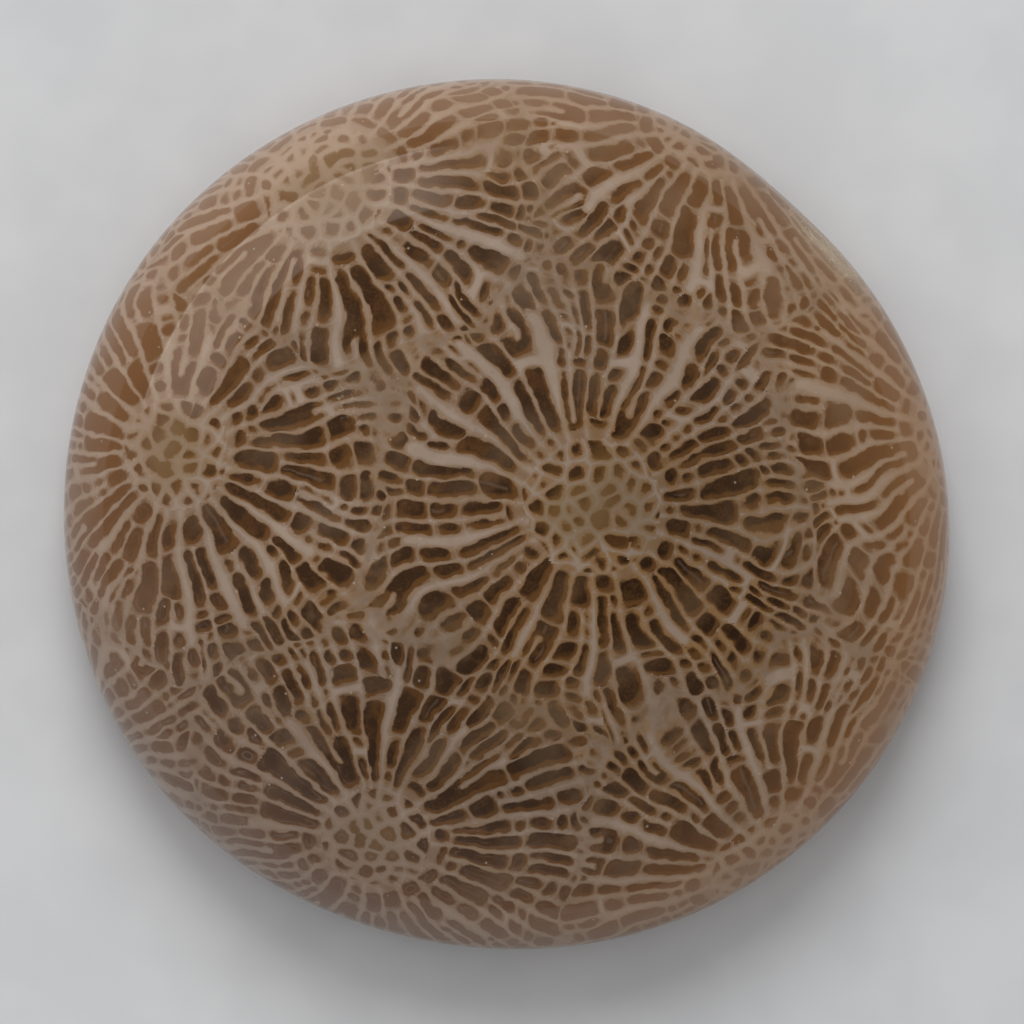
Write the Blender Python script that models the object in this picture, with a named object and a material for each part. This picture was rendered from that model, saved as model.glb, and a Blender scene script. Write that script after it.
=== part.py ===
# A round polished cabochon of fossil star coral: one solid stone with a domed top,
# a short steep side, a ground bevel and a flat back that it rests on.
# Metres, +Z up out of the dome. The origin is the middle of the flat back.

import math

import bmesh
import bpy

MM = 0.001

# Driving dimensions
MEAN_RADIUS = 12.5 * MM
HEIGHT = 7.2 * MM
SIDE_HEIGHT = 1.0 * MM
BEVEL = 0.4 * MM

# How full the dome is: 2 is an ellipse, and more is flatter on top with a rounder shoulder.
DOME_FULLNESS = 2.1

# How the hand-ground outline leaves the true circle, as shares of the radius.
# Each wave is (waves in a turn, share of the radius, angle of a crest in degrees).
OUTLINE_WAVES = (
    (2, 0.0150, -27.0),
    (3, 0.0065, -22.0),
    (5, 0.0020, 2.0),
)

# The place at the edge where the stone was ground flat.
FLAT_ANGLE = math.radians(47.0)
FLAT_DEPTH = 0.012
FLAT_SPREAD = math.radians(13.0)

# Facets: steps round the stone, and rings from the shoulder to the top.
STEPS_ROUND = 112
DOME_RINGS = 18

# Polished stone as it looks from a step away
STONE_COLOUR = (0.24, 0.16, 0.10, 1.0)
STONE_ROUGHNESS = 0.12


def clear_scene():
    for old in list(bpy.data.objects):
        bpy.data.objects.remove(old)


def turned_by(angle, other):
    """The smallest angle between two directions."""
    return abs((angle - other + math.pi) % (2 * math.pi) - math.pi)


def outline_share(angle):
    """The outline's radius in this direction, as a share of the mean radius."""
    waves = sum(
        share * math.cos(count * (angle - math.radians(crest)))
        for count, share, crest in OUTLINE_WAVES
    )
    away = turned_by(angle, FLAT_ANGLE) / FLAT_SPREAD
    return 1.0 + waves - FLAT_DEPTH * math.exp(-away * away)


def dome_height(share):
    """Height of the dome above its shoulder, at this share of the radius."""
    rise = HEIGHT - BEVEL - SIDE_HEIGHT
    return rise * (1.0 - share**DOME_FULLNESS) ** (1.0 / DOME_FULLNESS)


def profile():
    """The rings from the back's edge to just below the top, as (share of the radius, height)."""
    bevel_share = 1.0 - BEVEL / MEAN_RADIUS
    shoulder = BEVEL + SIDE_HEIGHT
    rings = [(bevel_share, 0.0), (1.0, BEVEL), (1.0, shoulder)]
    for ring in range(1, DOME_RINGS):
        turn = 0.5 * math.pi * ring / DOME_RINGS
        share = math.cos(turn)
        rings.append((share, shoulder + dome_height(share)))
    return rings


def ring_of_points(mesh, share, height):
    points = []
    for step in range(STEPS_ROUND):
        angle = 2 * math.pi * step / STEPS_ROUND
        radius = MEAN_RADIUS * share * outline_share(angle)
        place = (radius * math.cos(angle), radius * math.sin(angle), height)
        points.append(mesh.verts.new(place))
    return points


def skin_between(mesh, lower, upper):
    for step in range(STEPS_ROUND):
        following = (step + 1) % STEPS_ROUND
        mesh.faces.new((lower[step], lower[following], upper[following], upper[step]))


def close_top(mesh, ring):
    top = mesh.verts.new((0.0, 0.0, HEIGHT))
    for step in range(STEPS_ROUND):
        mesh.faces.new((ring[step], ring[(step + 1) % STEPS_ROUND], top))


def stone_material():
    material = bpy.data.materials.new("fossil_coral")
    material.use_nodes = True
    shader = material.node_tree.nodes["Principled BSDF"]
    shader.inputs["Base Color"].default_value = STONE_COLOUR
    shader.inputs["Roughness"].default_value = STONE_ROUGHNESS
    shader.inputs["Metallic"].default_value = 0.0
    return material


def make_cabochon():
    mesh = bmesh.new()
    rings = [ring_of_points(mesh, share, height) for share, height in profile()]
    for lower, upper in zip(rings, rings[1:]):
        skin_between(mesh, lower, upper)
    close_top(mesh, rings[-1])
    mesh.faces.new(list(reversed(rings[0])))
    data = bpy.data.meshes.new("coral_cabochon")
    mesh.to_mesh(data)
    mesh.free()
    data.materials.append(stone_material())
    data.shade_smooth()
    data.set_sharp_from_angle(angle=math.radians(35.0))
    stone = bpy.data.objects.new("coral_cabochon", data)
    bpy.context.scene.collection.objects.link(stone)
    return stone


clear_scene()
make_cabochon()
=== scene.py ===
# %% [markdown]
# # A polished cabochon of fossil star coral
#
# This lesson dresses one stone. It is a round, domed gem cut from a colony of star coral that
# turned to chalcedony long ago. The shape is simple and its surface is polished, so nearly all
# the work is in the pattern: seven flower-like corallites, each with a spongy middle and a ring
# of thin radiating plates (septa) that are cream, with dark brown chambers between them.
#
# The plan is: load the measured solid, grow a fine body with Geometry Nodes, work out the
# coral's pattern as smooth numbers on the body's points, turn those numbers into colour with
# shader nodes, and light the stone the way a soft window lights a desk.

# %% Load the frame
import math
from collections import namedtuple

import bpy
import numpy as np
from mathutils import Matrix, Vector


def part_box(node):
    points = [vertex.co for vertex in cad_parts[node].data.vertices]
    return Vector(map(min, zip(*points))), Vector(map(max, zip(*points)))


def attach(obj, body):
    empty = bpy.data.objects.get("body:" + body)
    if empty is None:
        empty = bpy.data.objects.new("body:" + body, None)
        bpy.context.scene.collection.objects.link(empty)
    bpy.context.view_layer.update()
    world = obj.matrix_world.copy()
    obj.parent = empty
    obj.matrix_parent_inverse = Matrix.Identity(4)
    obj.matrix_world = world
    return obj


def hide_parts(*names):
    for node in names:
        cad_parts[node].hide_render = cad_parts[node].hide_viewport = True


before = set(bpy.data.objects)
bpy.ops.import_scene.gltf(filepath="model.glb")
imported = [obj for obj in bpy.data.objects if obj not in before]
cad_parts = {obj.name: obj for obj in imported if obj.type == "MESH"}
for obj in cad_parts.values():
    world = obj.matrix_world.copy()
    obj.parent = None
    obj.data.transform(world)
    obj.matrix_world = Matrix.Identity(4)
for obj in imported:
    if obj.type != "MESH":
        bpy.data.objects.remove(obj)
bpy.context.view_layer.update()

MM = 0.001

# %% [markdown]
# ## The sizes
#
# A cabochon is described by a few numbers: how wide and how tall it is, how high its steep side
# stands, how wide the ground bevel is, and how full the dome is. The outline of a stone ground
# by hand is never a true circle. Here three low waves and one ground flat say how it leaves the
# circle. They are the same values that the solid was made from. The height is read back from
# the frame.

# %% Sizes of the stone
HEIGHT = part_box("coral_cabochon")[1][2]
MEAN_RADIUS = 12.5 * MM
SIDE_HEIGHT = 1.0 * MM
BEVEL = 0.4 * MM
DOME_FULLNESS = 2.1

# Each wave is (waves in a turn, share of the radius, angle of a crest in degrees).
OUTLINE_WAVES = (
    (2, 0.0150, -27.0),
    (3, 0.0065, -22.0),
    (5, 0.0020, 2.0),
)
FLAT_ANGLE = math.radians(47.0)
FLAT_DEPTH = 0.012
FLAT_SPREAD = math.radians(13.0)

SHOULDER = BEVEL + SIDE_HEIGHT
RISE = HEIGHT - SHOULDER
print("height", round(HEIGHT / MM, 2), "mm, dome rise", round(RISE / MM, 2), "mm")

# %% [markdown]
# ## Sums with node sockets
#
# Both Geometry Nodes and shader nodes do their sums with Math nodes. Written out one node at a
# time such sums are hard to read. The small class below lets a socket be used in a Python sum,
# so that `a * b + 1.0` makes two Math nodes and links them.

# %% A socket that can be used in a sum
class Wire:
    """The output of a node, which can be added, multiplied and so on."""

    def __init__(self, socket):
        self.socket = socket
        self.tree = socket.id_data

    def __add__(self, other):
        return calculate("ADD", self, other)

    __radd__ = __add__

    def __mul__(self, other):
        return calculate("MULTIPLY", self, other)

    __rmul__ = __mul__

    def __sub__(self, other):
        return calculate("SUBTRACT", self, other)

    def __rsub__(self, other):
        return calculate("SUBTRACT", other, self)

    def __truediv__(self, other):
        return calculate("DIVIDE", self, other)

    def __rtruediv__(self, other):
        return calculate("DIVIDE", other, self)

    def __pow__(self, other):
        return calculate("POWER", self, other)


def feed(socket, value):
    """Links a wire to a socket, or writes a plain value on it."""
    if isinstance(value, Wire):
        value.tree.links.new(value.socket, socket)
    else:
        socket.default_value = value


def tree_of(*values):
    """The tree of the first wire among these values."""
    return next(value.tree for value in values if isinstance(value, Wire))


def calculate(operation, *values):
    """One Math node."""
    node = tree_of(*values).nodes.new("ShaderNodeMath")
    node.operation = operation
    for socket, value in zip(node.inputs, values):
        feed(socket, value)
    return Wire(node.outputs[0])


def add_node(tree, kind, inputs=None, **settings):
    """A node of this kind, with its settings and its named inputs."""
    node = tree.nodes.new(kind)
    for name, value in settings.items():
        setattr(node, name, value)
    for name, value in (inputs or {}).items():
        feed(node.inputs[name], value)
    return node


def out_of(node, name=0):
    return Wire(node.outputs[name])


# %% [markdown]
# ## The body, as a Geometry Nodes tree
#
# The dome could be a UV sphere, but its points crowd at the pole and thin out at the rim, and
# the pattern needs points evenly spread. So the tree starts from a square grid and bends the
# square into a disc: each square ring of the grid becomes one round ring. Then every point is
# lifted onto the dome by one formula. The rim is extruded down for the steep side and in for
# the bevel, and the last ring is filled with a flat back.
#
# The outer rings are packed closer, because there the dome turns steeply down.

# %% Named inputs of the body
GRID_POINTS = 300
SIDE_ROWS = 4
WELD_DISTANCE = 0.001 * MM
SHARP_ANGLE = math.radians(35.0)

BODY_INPUTS = {
    "Mean Radius": MEAN_RADIUS,
    "Rise": RISE,
    "Side Height": SIDE_HEIGHT,
    "Bevel": BEVEL,
    "Fullness": DOME_FULLNESS,
    "Flat Depth": FLAT_DEPTH,
}

# The rings are evenly spaced in plan as far as this share of the radius.
EVEN_SHARE = 0.9
EVEN_RINGS = EVEN_SHARE / (2.0 - EVEN_SHARE)


def square_to_disc(u, v):
    """The ring, from 0 to 1, and the angle of a point of the square grid."""
    size_u = calculate("ABSOLUTE", u)
    size_v = calculate("ABSOLUTE", v)
    ring = calculate("MAXIMUM", size_u, size_v)
    wide = calculate("GREATER_THAN", size_u, size_v)
    wide_angle = v / u * (math.pi / 4) + calculate("LESS_THAN", u, 0.0) * math.pi
    tall_angle = math.pi / 2 - u / v * (math.pi / 4)
    tall_angle = tall_angle + calculate("LESS_THAN", v, 0.0) * math.pi
    return ring, wide * wide_angle + (1.0 - wide) * tall_angle


def ring_to_share(ring):
    """Even rings in the middle, and rings that close up towards the rim."""
    even = ring * (2.0 - EVEN_SHARE)
    beyond = calculate("MAXIMUM", (ring - EVEN_RINGS) / (1.0 - EVEN_RINGS), 0.0)
    closing = EVEN_SHARE + (1.0 - EVEN_SHARE) * (1.0 - (1.0 - beyond) ** 2.0)
    outside = calculate("GREATER_THAN", ring, EVEN_RINGS)
    return outside * closing + (1.0 - outside) * even


def outline_in_nodes(angle, flat_depth):
    total = None
    for count, share, crest in OUTLINE_WAVES:
        turned = (angle - math.radians(crest)) * float(count)
        wave = calculate("COSINE", turned) * share
        total = wave if total is None else total + wave
    away = calculate("WRAP", angle - FLAT_ANGLE, math.pi, -math.pi) / FLAT_SPREAD
    dent = calculate("EXPONENT", away * away * -1.0) * flat_depth
    return total + 1.0 - dent


def dome_in_nodes(share, rise, fullness):
    inside = calculate("MAXIMUM", 1.0 - share**fullness, 0.0)
    return rise * inside ** (1.0 / fullness)


# %% [markdown]
# ## A domed sheet
#
# The first half of the tree makes the dome as an open sheet. A Grid node gives the points, and a
# Set Position node moves each of them to the place that the formulas above work out.

# %% Dome a grid
def body_inputs(tree):
    """Makes the tree's named inputs, and gives them back as wires."""
    tree.interface.new_socket(name="Body", in_out="OUTPUT", socket_type="NodeSocketGeometry")
    for name, value in BODY_INPUTS.items():
        made = tree.interface.new_socket(name=name, in_out="INPUT", socket_type="NodeSocketFloat")
        made.default_value = value
    given = add_node(tree, "NodeGroupInput")
    return {name: Wire(given.outputs[name]) for name in BODY_INPUTS}


def vector_of(x, y, z):
    node = add_node(tree_of(x, y, z), "ShaderNodeCombineXYZ", {"X": x, "Y": y, "Z": z})
    return out_of(node)


def parts_of(vector):
    """The X, Y and Z of a vector, as three wires."""
    split = add_node(vector.tree, "ShaderNodeSeparateXYZ", {"Vector": vector})
    return [out_of(split, axis) for axis in "XYZ"]


def domed_sheet(tree, size):
    grid = add_node(tree, "GeometryNodeMeshGrid", {"Size X": 2.0, "Size Y": 2.0})
    for name in ("Vertices X", "Vertices Y"):
        feed(grid.inputs[name], GRID_POINTS)
    place = out_of(add_node(tree, "GeometryNodeInputPosition"))
    u, v, _ = parts_of(place)
    ring, angle = square_to_disc(u, v)
    share = ring_to_share(ring)
    radius = size["Mean Radius"] * share * outline_in_nodes(angle, size["Flat Depth"])
    x = radius * calculate("COSINE", angle)
    y = radius * calculate("SINE", angle)
    shoulder = size["Bevel"] + size["Side Height"]
    z = shoulder + dome_in_nodes(share, size["Rise"], size["Fullness"])
    moved = {"Geometry": out_of(grid, "Mesh"), "Position": vector_of(x, y, z)}
    return out_of(add_node(tree, "GeometryNodeSetPosition", moved))


# %% [markdown]
# ## The side, the bevel and the back
#
# The rim is the ring of edges that have only one face. It is extruded down in a few rows for the
# side, once more for the bevel, and that last ring is drawn in. The ring, as a curve, is filled
# for the back. The filled face looks up, so it is flipped, and then welded on.

# %% Close the body
def lower_rim(mesh, selection, depth):
    """Extrudes the selected rim straight down."""
    offset = vector_of(0.0, 0.0, depth * -1.0)
    inputs = {"Mesh": mesh, "Selection": selection, "Offset": offset}
    extrude = add_node(mesh.tree, "GeometryNodeExtrudeMesh", inputs, mode="EDGES")
    return out_of(extrude, "Mesh"), out_of(extrude, "Top")


def side_and_bevel(tree, size, sheet):
    """The sheet with its side and its bevel, and the lowest ring of edges."""
    faces = add_node(tree, "GeometryNodeInputMeshEdgeNeighbors")
    at_rim = add_node(tree, "FunctionNodeCompare", data_type="INT", operation="EQUAL")
    feed(at_rim.inputs[2], out_of(faces, "Face Count"))
    feed(at_rim.inputs[3], 1)
    mesh, rim = sheet, out_of(at_rim)
    for _ in range(SIDE_ROWS):
        mesh, rim = lower_rim(mesh, rim, size["Side Height"] / float(SIDE_ROWS))
    mesh, rim = lower_rim(mesh, rim, size["Bevel"])
    narrow = 1.0 - size["Bevel"] / size["Mean Radius"]
    x, y, _ = parts_of(out_of(add_node(tree, "GeometryNodeInputPosition")))
    drawn_in = vector_of(x * narrow, y * narrow, 0.0)
    moved = {"Geometry": mesh, "Selection": rim, "Position": drawn_in}
    return out_of(add_node(tree, "GeometryNodeSetPosition", moved)), rim


def with_back(tree, mesh, rim):
    edge = add_node(tree, "GeometryNodeMeshToCurve", {"Mesh": mesh, "Selection": rim})
    back = add_node(tree, "GeometryNodeFillCurve", {"Curve": out_of(edge)})
    facing_down = add_node(tree, "GeometryNodeFlipFaces", {"Mesh": out_of(back)})
    joined = add_node(tree, "GeometryNodeJoinGeometry")
    for part in (out_of(facing_down), mesh):
        feed(joined.inputs[0], part)
    touching = {"Geometry": out_of(joined), "Distance": WELD_DISTANCE}
    return out_of(add_node(tree, "GeometryNodeMergeByDistance", touching))


def build_body_tree(material):
    tree = bpy.data.node_groups.new("cabochon body", "GeometryNodeTree")
    size = body_inputs(tree)
    mesh, rim = side_and_bevel(tree, size, domed_sheet(tree, size))
    closed = with_back(tree, mesh, rim)
    realized = add_node(tree, "GeometryNodeRealizeInstances", {"Geometry": closed})
    painted = add_node(tree, "GeometryNodeSetMaterial", {"Geometry": out_of(realized)})
    feed(painted.inputs["Material"], material)
    result = add_node(tree, "NodeGroupOutput")
    feed(result.inputs["Body"], out_of(painted))
    return tree


# %% [markdown]
# ## From a tree to a mesh
#
# A Geometry Nodes tree works as a modifier on an object, here on an empty mesh. Its inputs are
# set first. The result is then kept as a plain mesh and the modifier is taken off, because the
# next steps write numbers on the mesh's own points and corners.

# %% Grow the body and keep it as a plain mesh
def add_object(name, data):
    """A new object in the scene, at the origin."""
    made = bpy.data.objects.new(name, data)
    bpy.context.scene.collection.objects.link(made)
    return made


def grow_body(material):
    tree = build_body_tree(material)
    stone = add_object("coral_stone", bpy.data.meshes.new("coral_stone"))
    modifier = stone.modifiers.new("cabochon body", "NODES")
    modifier.node_group = tree
    for item in tree.interface.items_tree:
        if item.in_out == "INPUT":
            modifier[item.identifier] = BODY_INPUTS[item.name]
    shaped = stone.evaluated_get(bpy.context.evaluated_depsgraph_get())
    mesh = bpy.data.meshes.new_from_object(shaped)
    stone.modifiers.clear()
    stone.data = mesh
    mesh.shade_smooth()
    mesh.set_sharp_from_angle(angle=SHARP_ANGLE)
    return stone


stone_material = bpy.data.materials.new("polished fossil coral")
stone = grow_body(stone_material)
triangles = sum(len(face.vertices) - 2 for face in stone.data.polygons)
print("points", len(stone.data.vertices), "triangles", triangles)

# %% [markdown]
# ## A flat map of the dome
#
# The corallites stood side by side in the colony, and the cutter's dome slices through them.
# Seen from above, those near the rim look squeezed, because the dome falls away there. The
# pattern is therefore worked out on a flat map of the dome, in millimetres, on which the rim
# lies further out than it does in plan. Distances along the curve count for UNROLLING, and
# distances in plan for the rest. The steep side and the bevel carry on outwards from the rim.

# %% Points of the body on the flat map
UNROLLING = 0.6
MAP_STEPS = 2001


def wrapped(angle):
    """The same angle, from half a turn back to half a turn on."""
    return (angle + math.pi) % (2 * math.pi) - math.pi


def lengths(offsets):
    """The length of every offset, seen in plan."""
    return np.hypot(offsets[:, 0], offsets[:, 1])


def polar(offsets):
    return lengths(offsets), np.arctan2(offsets[:, 1], offsets[:, 0])


def outline_share(angle):
    """The outline's radius in this direction, as a share of the mean radius."""
    waves = sum(
        share * np.cos(count * (angle - math.radians(crest)))
        for count, share, crest in OUTLINE_WAVES
    )
    away = wrapped(angle - FLAT_ANGLE) / FLAT_SPREAD
    return 1.0 + waves - FLAT_DEPTH * np.exp(-(away**2))


def map_radius_of(share):
    """The map's distance from its middle, in mm, for a share of the stone's radius."""
    turn = np.linspace(0.0, math.pi / 2, MAP_STEPS)
    steps = np.sin(turn)
    height = RISE * np.maximum(0.0, 1.0 - steps**DOME_FULLNESS) ** (1.0 / DOME_FULLNESS)
    pieces = np.hypot(np.diff(steps * MEAN_RADIUS), np.diff(height))
    along = np.concatenate([[0.0], np.cumsum(pieces)])
    plan = steps * MEAN_RADIUS
    return np.interp(share, steps, plan + UNROLLING * (along - plan)) / MM


def points_of(mesh):
    flat = np.empty(len(mesh.vertices) * 3)
    mesh.vertices.foreach_get("co", flat)
    return flat.reshape(-1, 3)


def angle_and_share(points):
    """The angle of each point round the stone's middle, and its share of the radius there."""
    radius, angle = polar(points)
    return angle, radius / (MEAN_RADIUS * outline_share(angle))


def on_the_map(points):
    """Where each point of the body lies on the flat map, in mm."""
    angle, share = angle_and_share(points)
    below = np.maximum(0.0, SHOULDER - points[:, 2]) / MM
    radius = map_radius_of(np.minimum(share, 1.0)) + below
    return np.column_stack([radius * np.cos(angle), radius * np.sin(angle)])


points = points_of(stone.data)
places = on_the_map(points)
print("the map reaches", round(float(lengths(places).max()), 2), "mm from its middle")

# %% [markdown]
# ## The corallites
#
# Each corallite is one coral animal's cup. What an eye picks out first is where the middles
# are and where the strong septa point, so those are set down one by one, as a painter would block
# in a face. A strong septum is given as (angle, where it ends, half its greatest width). Angles
# are in degrees, counter-clockwise from the right, and lengths are in mm. The thin septa are
# given by angle alone. Those that start further out follow a rule with a seed.

# %% Where the corallites are
Corallite = namedtuple("Corallite", "name centre ring strong thin")

CORALLITES = (
    Corallite(
        "middle", (2.42, 0.33), 1.90,
        ((42, 5.7, 0.10), (57, 6.1, 0.16), (73, 5.9, 0.17), (107, 5.4, 0.19), (128, 5.6, 0.21),
         (147, 5.8, 0.13), (161, 5.2, 0.21), (194, 5.2, 0.18), (211, 6.2, 0.13),
         (242, 4.8, 0.15), (271, 5.4, 0.14), (303, 4.5, 0.18), (337, 5.0, 0.15)),
        (2, 12, 27, 90, 118, 138, 178, 203, 227, 256, 286, 320, 352),
    ),
    Corallite(
        "left", (-9.33, 1.78), 1.60,
        ((34, 5.0, 0.12), (73, 3.4, 0.18), (95, 3.2, 0.17), (229, 3.7, 0.16), (250, 3.4, 0.10),
         (274, 5.4, 0.15), (292, 5.4, 0.17), (309, 5.3, 0.15), (325, 4.9, 0.17)),
        (2, 20, 45, 57, 110, 126, 140, 152, 166, 178, 192, 207, 218, 262, 337, 347),
    ),
    Corallite(
        "lower left", (-3.74, -9.40), 1.60,
        ((40, 3.3, 0.13), (62, 3.1, 0.12), (83, 5.3, 0.15), (122, 4.2, 0.17), (174, 3.8, 0.18),
         (312, 4.4, 0.13)),
        (12, 24, 72, 94, 103, 135, 147, 159, 196, 210, 225, 240, 255, 271, 290, 334, 356),
    ),
    Corallite(
        "lower right", (7.95, -10.40), 1.85,
        ((73, 5.2, 0.14), (105, 5.6, 0.16), (131, 6.0, 0.15), (163, 5.8, 0.15), (182, 5.4, 0.14),
         (198, 5.0, 0.13)),
        (0, 20, 40, 56, 91, 118, 148, 172, 217, 236, 255, 275, 295, 315, 338),
    ),
    Corallite(
        "right", (13.90, 2.50), 1.80,
        ((148, 5.4, 0.13), (169, 5.6, 0.17), (206, 5.2, 0.16)),
        (10, 35, 60, 85, 105, 127, 187, 224, 243, 262, 285, 310, 335),
    ),
    Corallite(
        "upper right", (6.50, 12.20), 1.95,
        ((198, 5.0, 0.13), (219, 5.4, 0.17), (259, 5.6, 0.16), (284, 5.2, 0.14)),
        (5, 30, 55, 80, 105, 130, 155, 177, 237, 247, 271, 297, 318, 340),
    ),
    Corallite(
        "upper left", (-5.15, 9.58), 1.95,
        ((12, 5.0, 0.13), (261, 4.8, 0.13), (278, 5.6, 0.15), (315, 5.6, 0.15), (338, 6.2, 0.17)),
        (32, 53, 78, 100, 122, 146, 168, 190, 207, 218, 232, 245, 297, 308, 324, 356),
    ),
)

# Middles of the cups that lie past the rim, and show only their edges.
PAST_THE_RIM = (
    (-14.6, -8.2), (3.0, -20.5), (17.2, -8.2), (17.6, 13.4), (0.8, 20.6), (-14.8, 11.6),
)
OUTSIDE_RING = 1.9
OUTSIDE_SEPTA = 26
OUTSIDE_STRONG = (5.2, 0.14)
STRONG_EVERY = 4
TURNED_EACH = 0.17


def outside_corallite(place, centre):
    """A cup past the rim, with evenly spread septa, of which every fourth is strong."""
    turn = 360.0 / OUTSIDE_SEPTA
    angles = [turn * (step + TURNED_EACH * place) for step in range(OUTSIDE_SEPTA)]
    strong = tuple((angle, *OUTSIDE_STRONG) for angle in angles[::STRONG_EVERY])
    thin = tuple(angle for step, angle in enumerate(angles) if step % STRONG_EVERY)
    return Corallite("outside %d" % place, centre, OUTSIDE_RING, strong, thin)


cups = list(CORALLITES)
cups += [outside_corallite(place, centre) for place, centre in enumerate(PAST_THE_RIM)]
print(len(cups), "corallites")

# %% [markdown]
# ## Septa
#
# A strong septum is a blade: thin where it leaves the middle, thicker further out, with a
# rounded club at its end. Behind the club it goes on as two thin branches, with a new row of
# chambers between them. A thin septum simply runs on. All distances are in mm.

# %% How a septum runs
Septum = namedtuple("Septum", "angle aside start stop inner outer open_start", defaults=(False,))
Side = namedtuple("Side", "septum branch")

REACH = 9.0
THICKENING = 2.3
STRONGER = 1.32
INNER_HALF_WIDTH = 0.082
THIN_HALF_WIDTH = 0.096
BRANCH_HALF_WIDTH = 0.076
BRANCH_SPREAD = 0.12
BRANCHING_LENGTH = 0.6
STRONG_SEPTUM_START = (1.0, 1.3)
THIN_SEPTUM_START = (0.85, 1.2)
THIN_SEPTUM_GROWTH = (0.75, 1.3)
START_SWELLING = 0.045
SWOLLEN_LENGTH = 0.9
NO_END = 99.0


def smooth_rise(value):
    """0 below 0, 1 above 1, and a smooth rise between."""
    value = np.clip(value, 0.0, 1.0)
    return value * value * (3.0 - 2.0 * value)


def blade_half_width(septum, radius):
    grown = smooth_rise((radius - septum.start) / THICKENING)
    return septum.inner + (septum.outer - septum.inner) * grown


def half_width(side, radius, face_radius):
    """The radius of the whole face decides whether all its corners see the blade or a branch."""
    blade = blade_half_width(side.septum, radius)
    return np.where(face_radius < side.septum.stop, blade, BRANCH_HALF_WIDTH)


def swelling(septum, radius):
    """A septum that starts inside an open chamber has a thicker, rounded end."""
    if not septum.open_start:
        return 0.0
    return START_SWELLING * (1.0 - smooth_rise((radius - septum.start) / SWOLLEN_LENGTH))


def offset(side, radius, face_radius):
    """How far this side of the septum has moved from the septum's ray, in mm."""
    septum = side.septum
    past = smooth_rise((radius - septum.stop) / BRANCHING_LENGTH)
    moved = blade_half_width(septum, septum.stop) - BRANCH_HALF_WIDTH + BRANCH_SPREAD * past
    return septum.aside + side.branch * np.where(face_radius < septum.stop, 0.0, moved)


def from_side(side, radius, angle, face_radius):
    """Signed distance from the septum's middle line, growing counter-clockwise."""
    return wrapped(angle - side.septum.angle) * radius - offset(side, radius, face_radius)


def first_septa(cup, random):
    """The septa that start at the ring round the cup's middle, in order of their angle."""
    septa = []
    for angle, stop, widest in cup.strong:
        inner = INNER_HALF_WIDTH * random.uniform(*STRONG_SEPTUM_START)
        septa.append(Septum(math.radians(angle), 0.0, cup.ring, stop, inner, widest * STRONGER))
    for angle in cup.thin:
        inner = INNER_HALF_WIDTH * random.uniform(*THIN_SEPTUM_START)
        outer = THIN_HALF_WIDTH * random.uniform(*THIN_SEPTUM_GROWTH)
        septa.append(Septum(math.radians(angle), 0.0, cup.ring, NO_END, inner, outer))
    return sorted(septa)


# %% [markdown]
# ## Rows of chambers
#
# Between two neighbouring septa lies a row of chambers. As the row gets wider away from the
# middle, a new septum starts in it and parts it in two, just as the living coral did it. The
# rule is used again on each half, and that gives the whole fan.

# %% A row and its width
Row = namedtuple("Row", "low high start stop widest tip first_tone next_septum last_tone")

WIDEST_ROW = 0.54
SHORTEST_ROW = 0.55
FIRST_PARTING = 0.4
GROWTH_STEP = 0.04
OPEN_PARTINGS = 0.2
ROW_WIDTHS = (0.8, 1.25)
PARTING_PLACES = (0.43, 0.57)
SHORT_BLADES = 0.33
SHORT_BLADE_LENGTH = (1.3, 2.6)
SHORT_BLADE_HALF_WIDTH = (0.14, 0.22)
LONG_SEPTUM_HALF_WIDTH = (0.07, 0.12)


def new_row(low, high, start, random, tip=None, first_tone=None):
    widest = WIDEST_ROW * random.uniform(*ROW_WIDTHS)
    return Row(low, high, start, REACH, widest, tip, first_tone, None, None)


def gap(row, radius):
    """How wide the row is at this radius, between the faces of its two septa."""
    opening = (row.high.septum.angle - row.low.septum.angle) % (2 * math.pi)
    width = opening * radius + offset(row.high, radius, radius) - offset(row.low, radius, radius)
    return width - half_width(row.low, radius, radius) - half_width(row.high, radius, radius)


# %% A new septum parts a row
def parting_septum(row, radius, random):
    """A new septum near the middle of the row. One in three is a short blade with a club."""
    share = random.uniform(*PARTING_PLACES)
    opening = (row.high.septum.angle - row.low.septum.angle) % (2 * math.pi)
    angle = row.low.septum.angle + opening * share
    low, high = offset(row.low, radius, radius), offset(row.high, radius, radius)
    aside = (1.0 - share) * low + share * high
    inner = INNER_HALF_WIDTH * random.uniform(*THIN_SEPTUM_START)
    stop, widths = NO_END, LONG_SEPTUM_HALF_WIDTH
    if random.random() < SHORT_BLADES:
        stop = radius + random.uniform(*SHORT_BLADE_LENGTH)
        widths = SHORT_BLADE_HALF_WIDTH
    return Septum(angle, float(aside), radius, stop, inner, random.uniform(*widths))


def part(row, radius, random):
    """The finished row and the two that follow it. Some chambers run on past the new septum."""
    new = parting_septum(row, radius, random)
    tone = random.uniform(0.0, 1.0) if random.random() < OPEN_PARTINGS else None
    done = row._replace(stop=radius)
    if tone is not None:
        new = new._replace(open_start=True)
        done = done._replace(next_septum=new, last_tone=tone)
    low_half = new_row(row.low, Side(new, -1), radius, random, first_tone=tone)
    high_half = new_row(Side(new, 1), row.high, radius, random, first_tone=tone)
    return done, low_half, high_half


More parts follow.
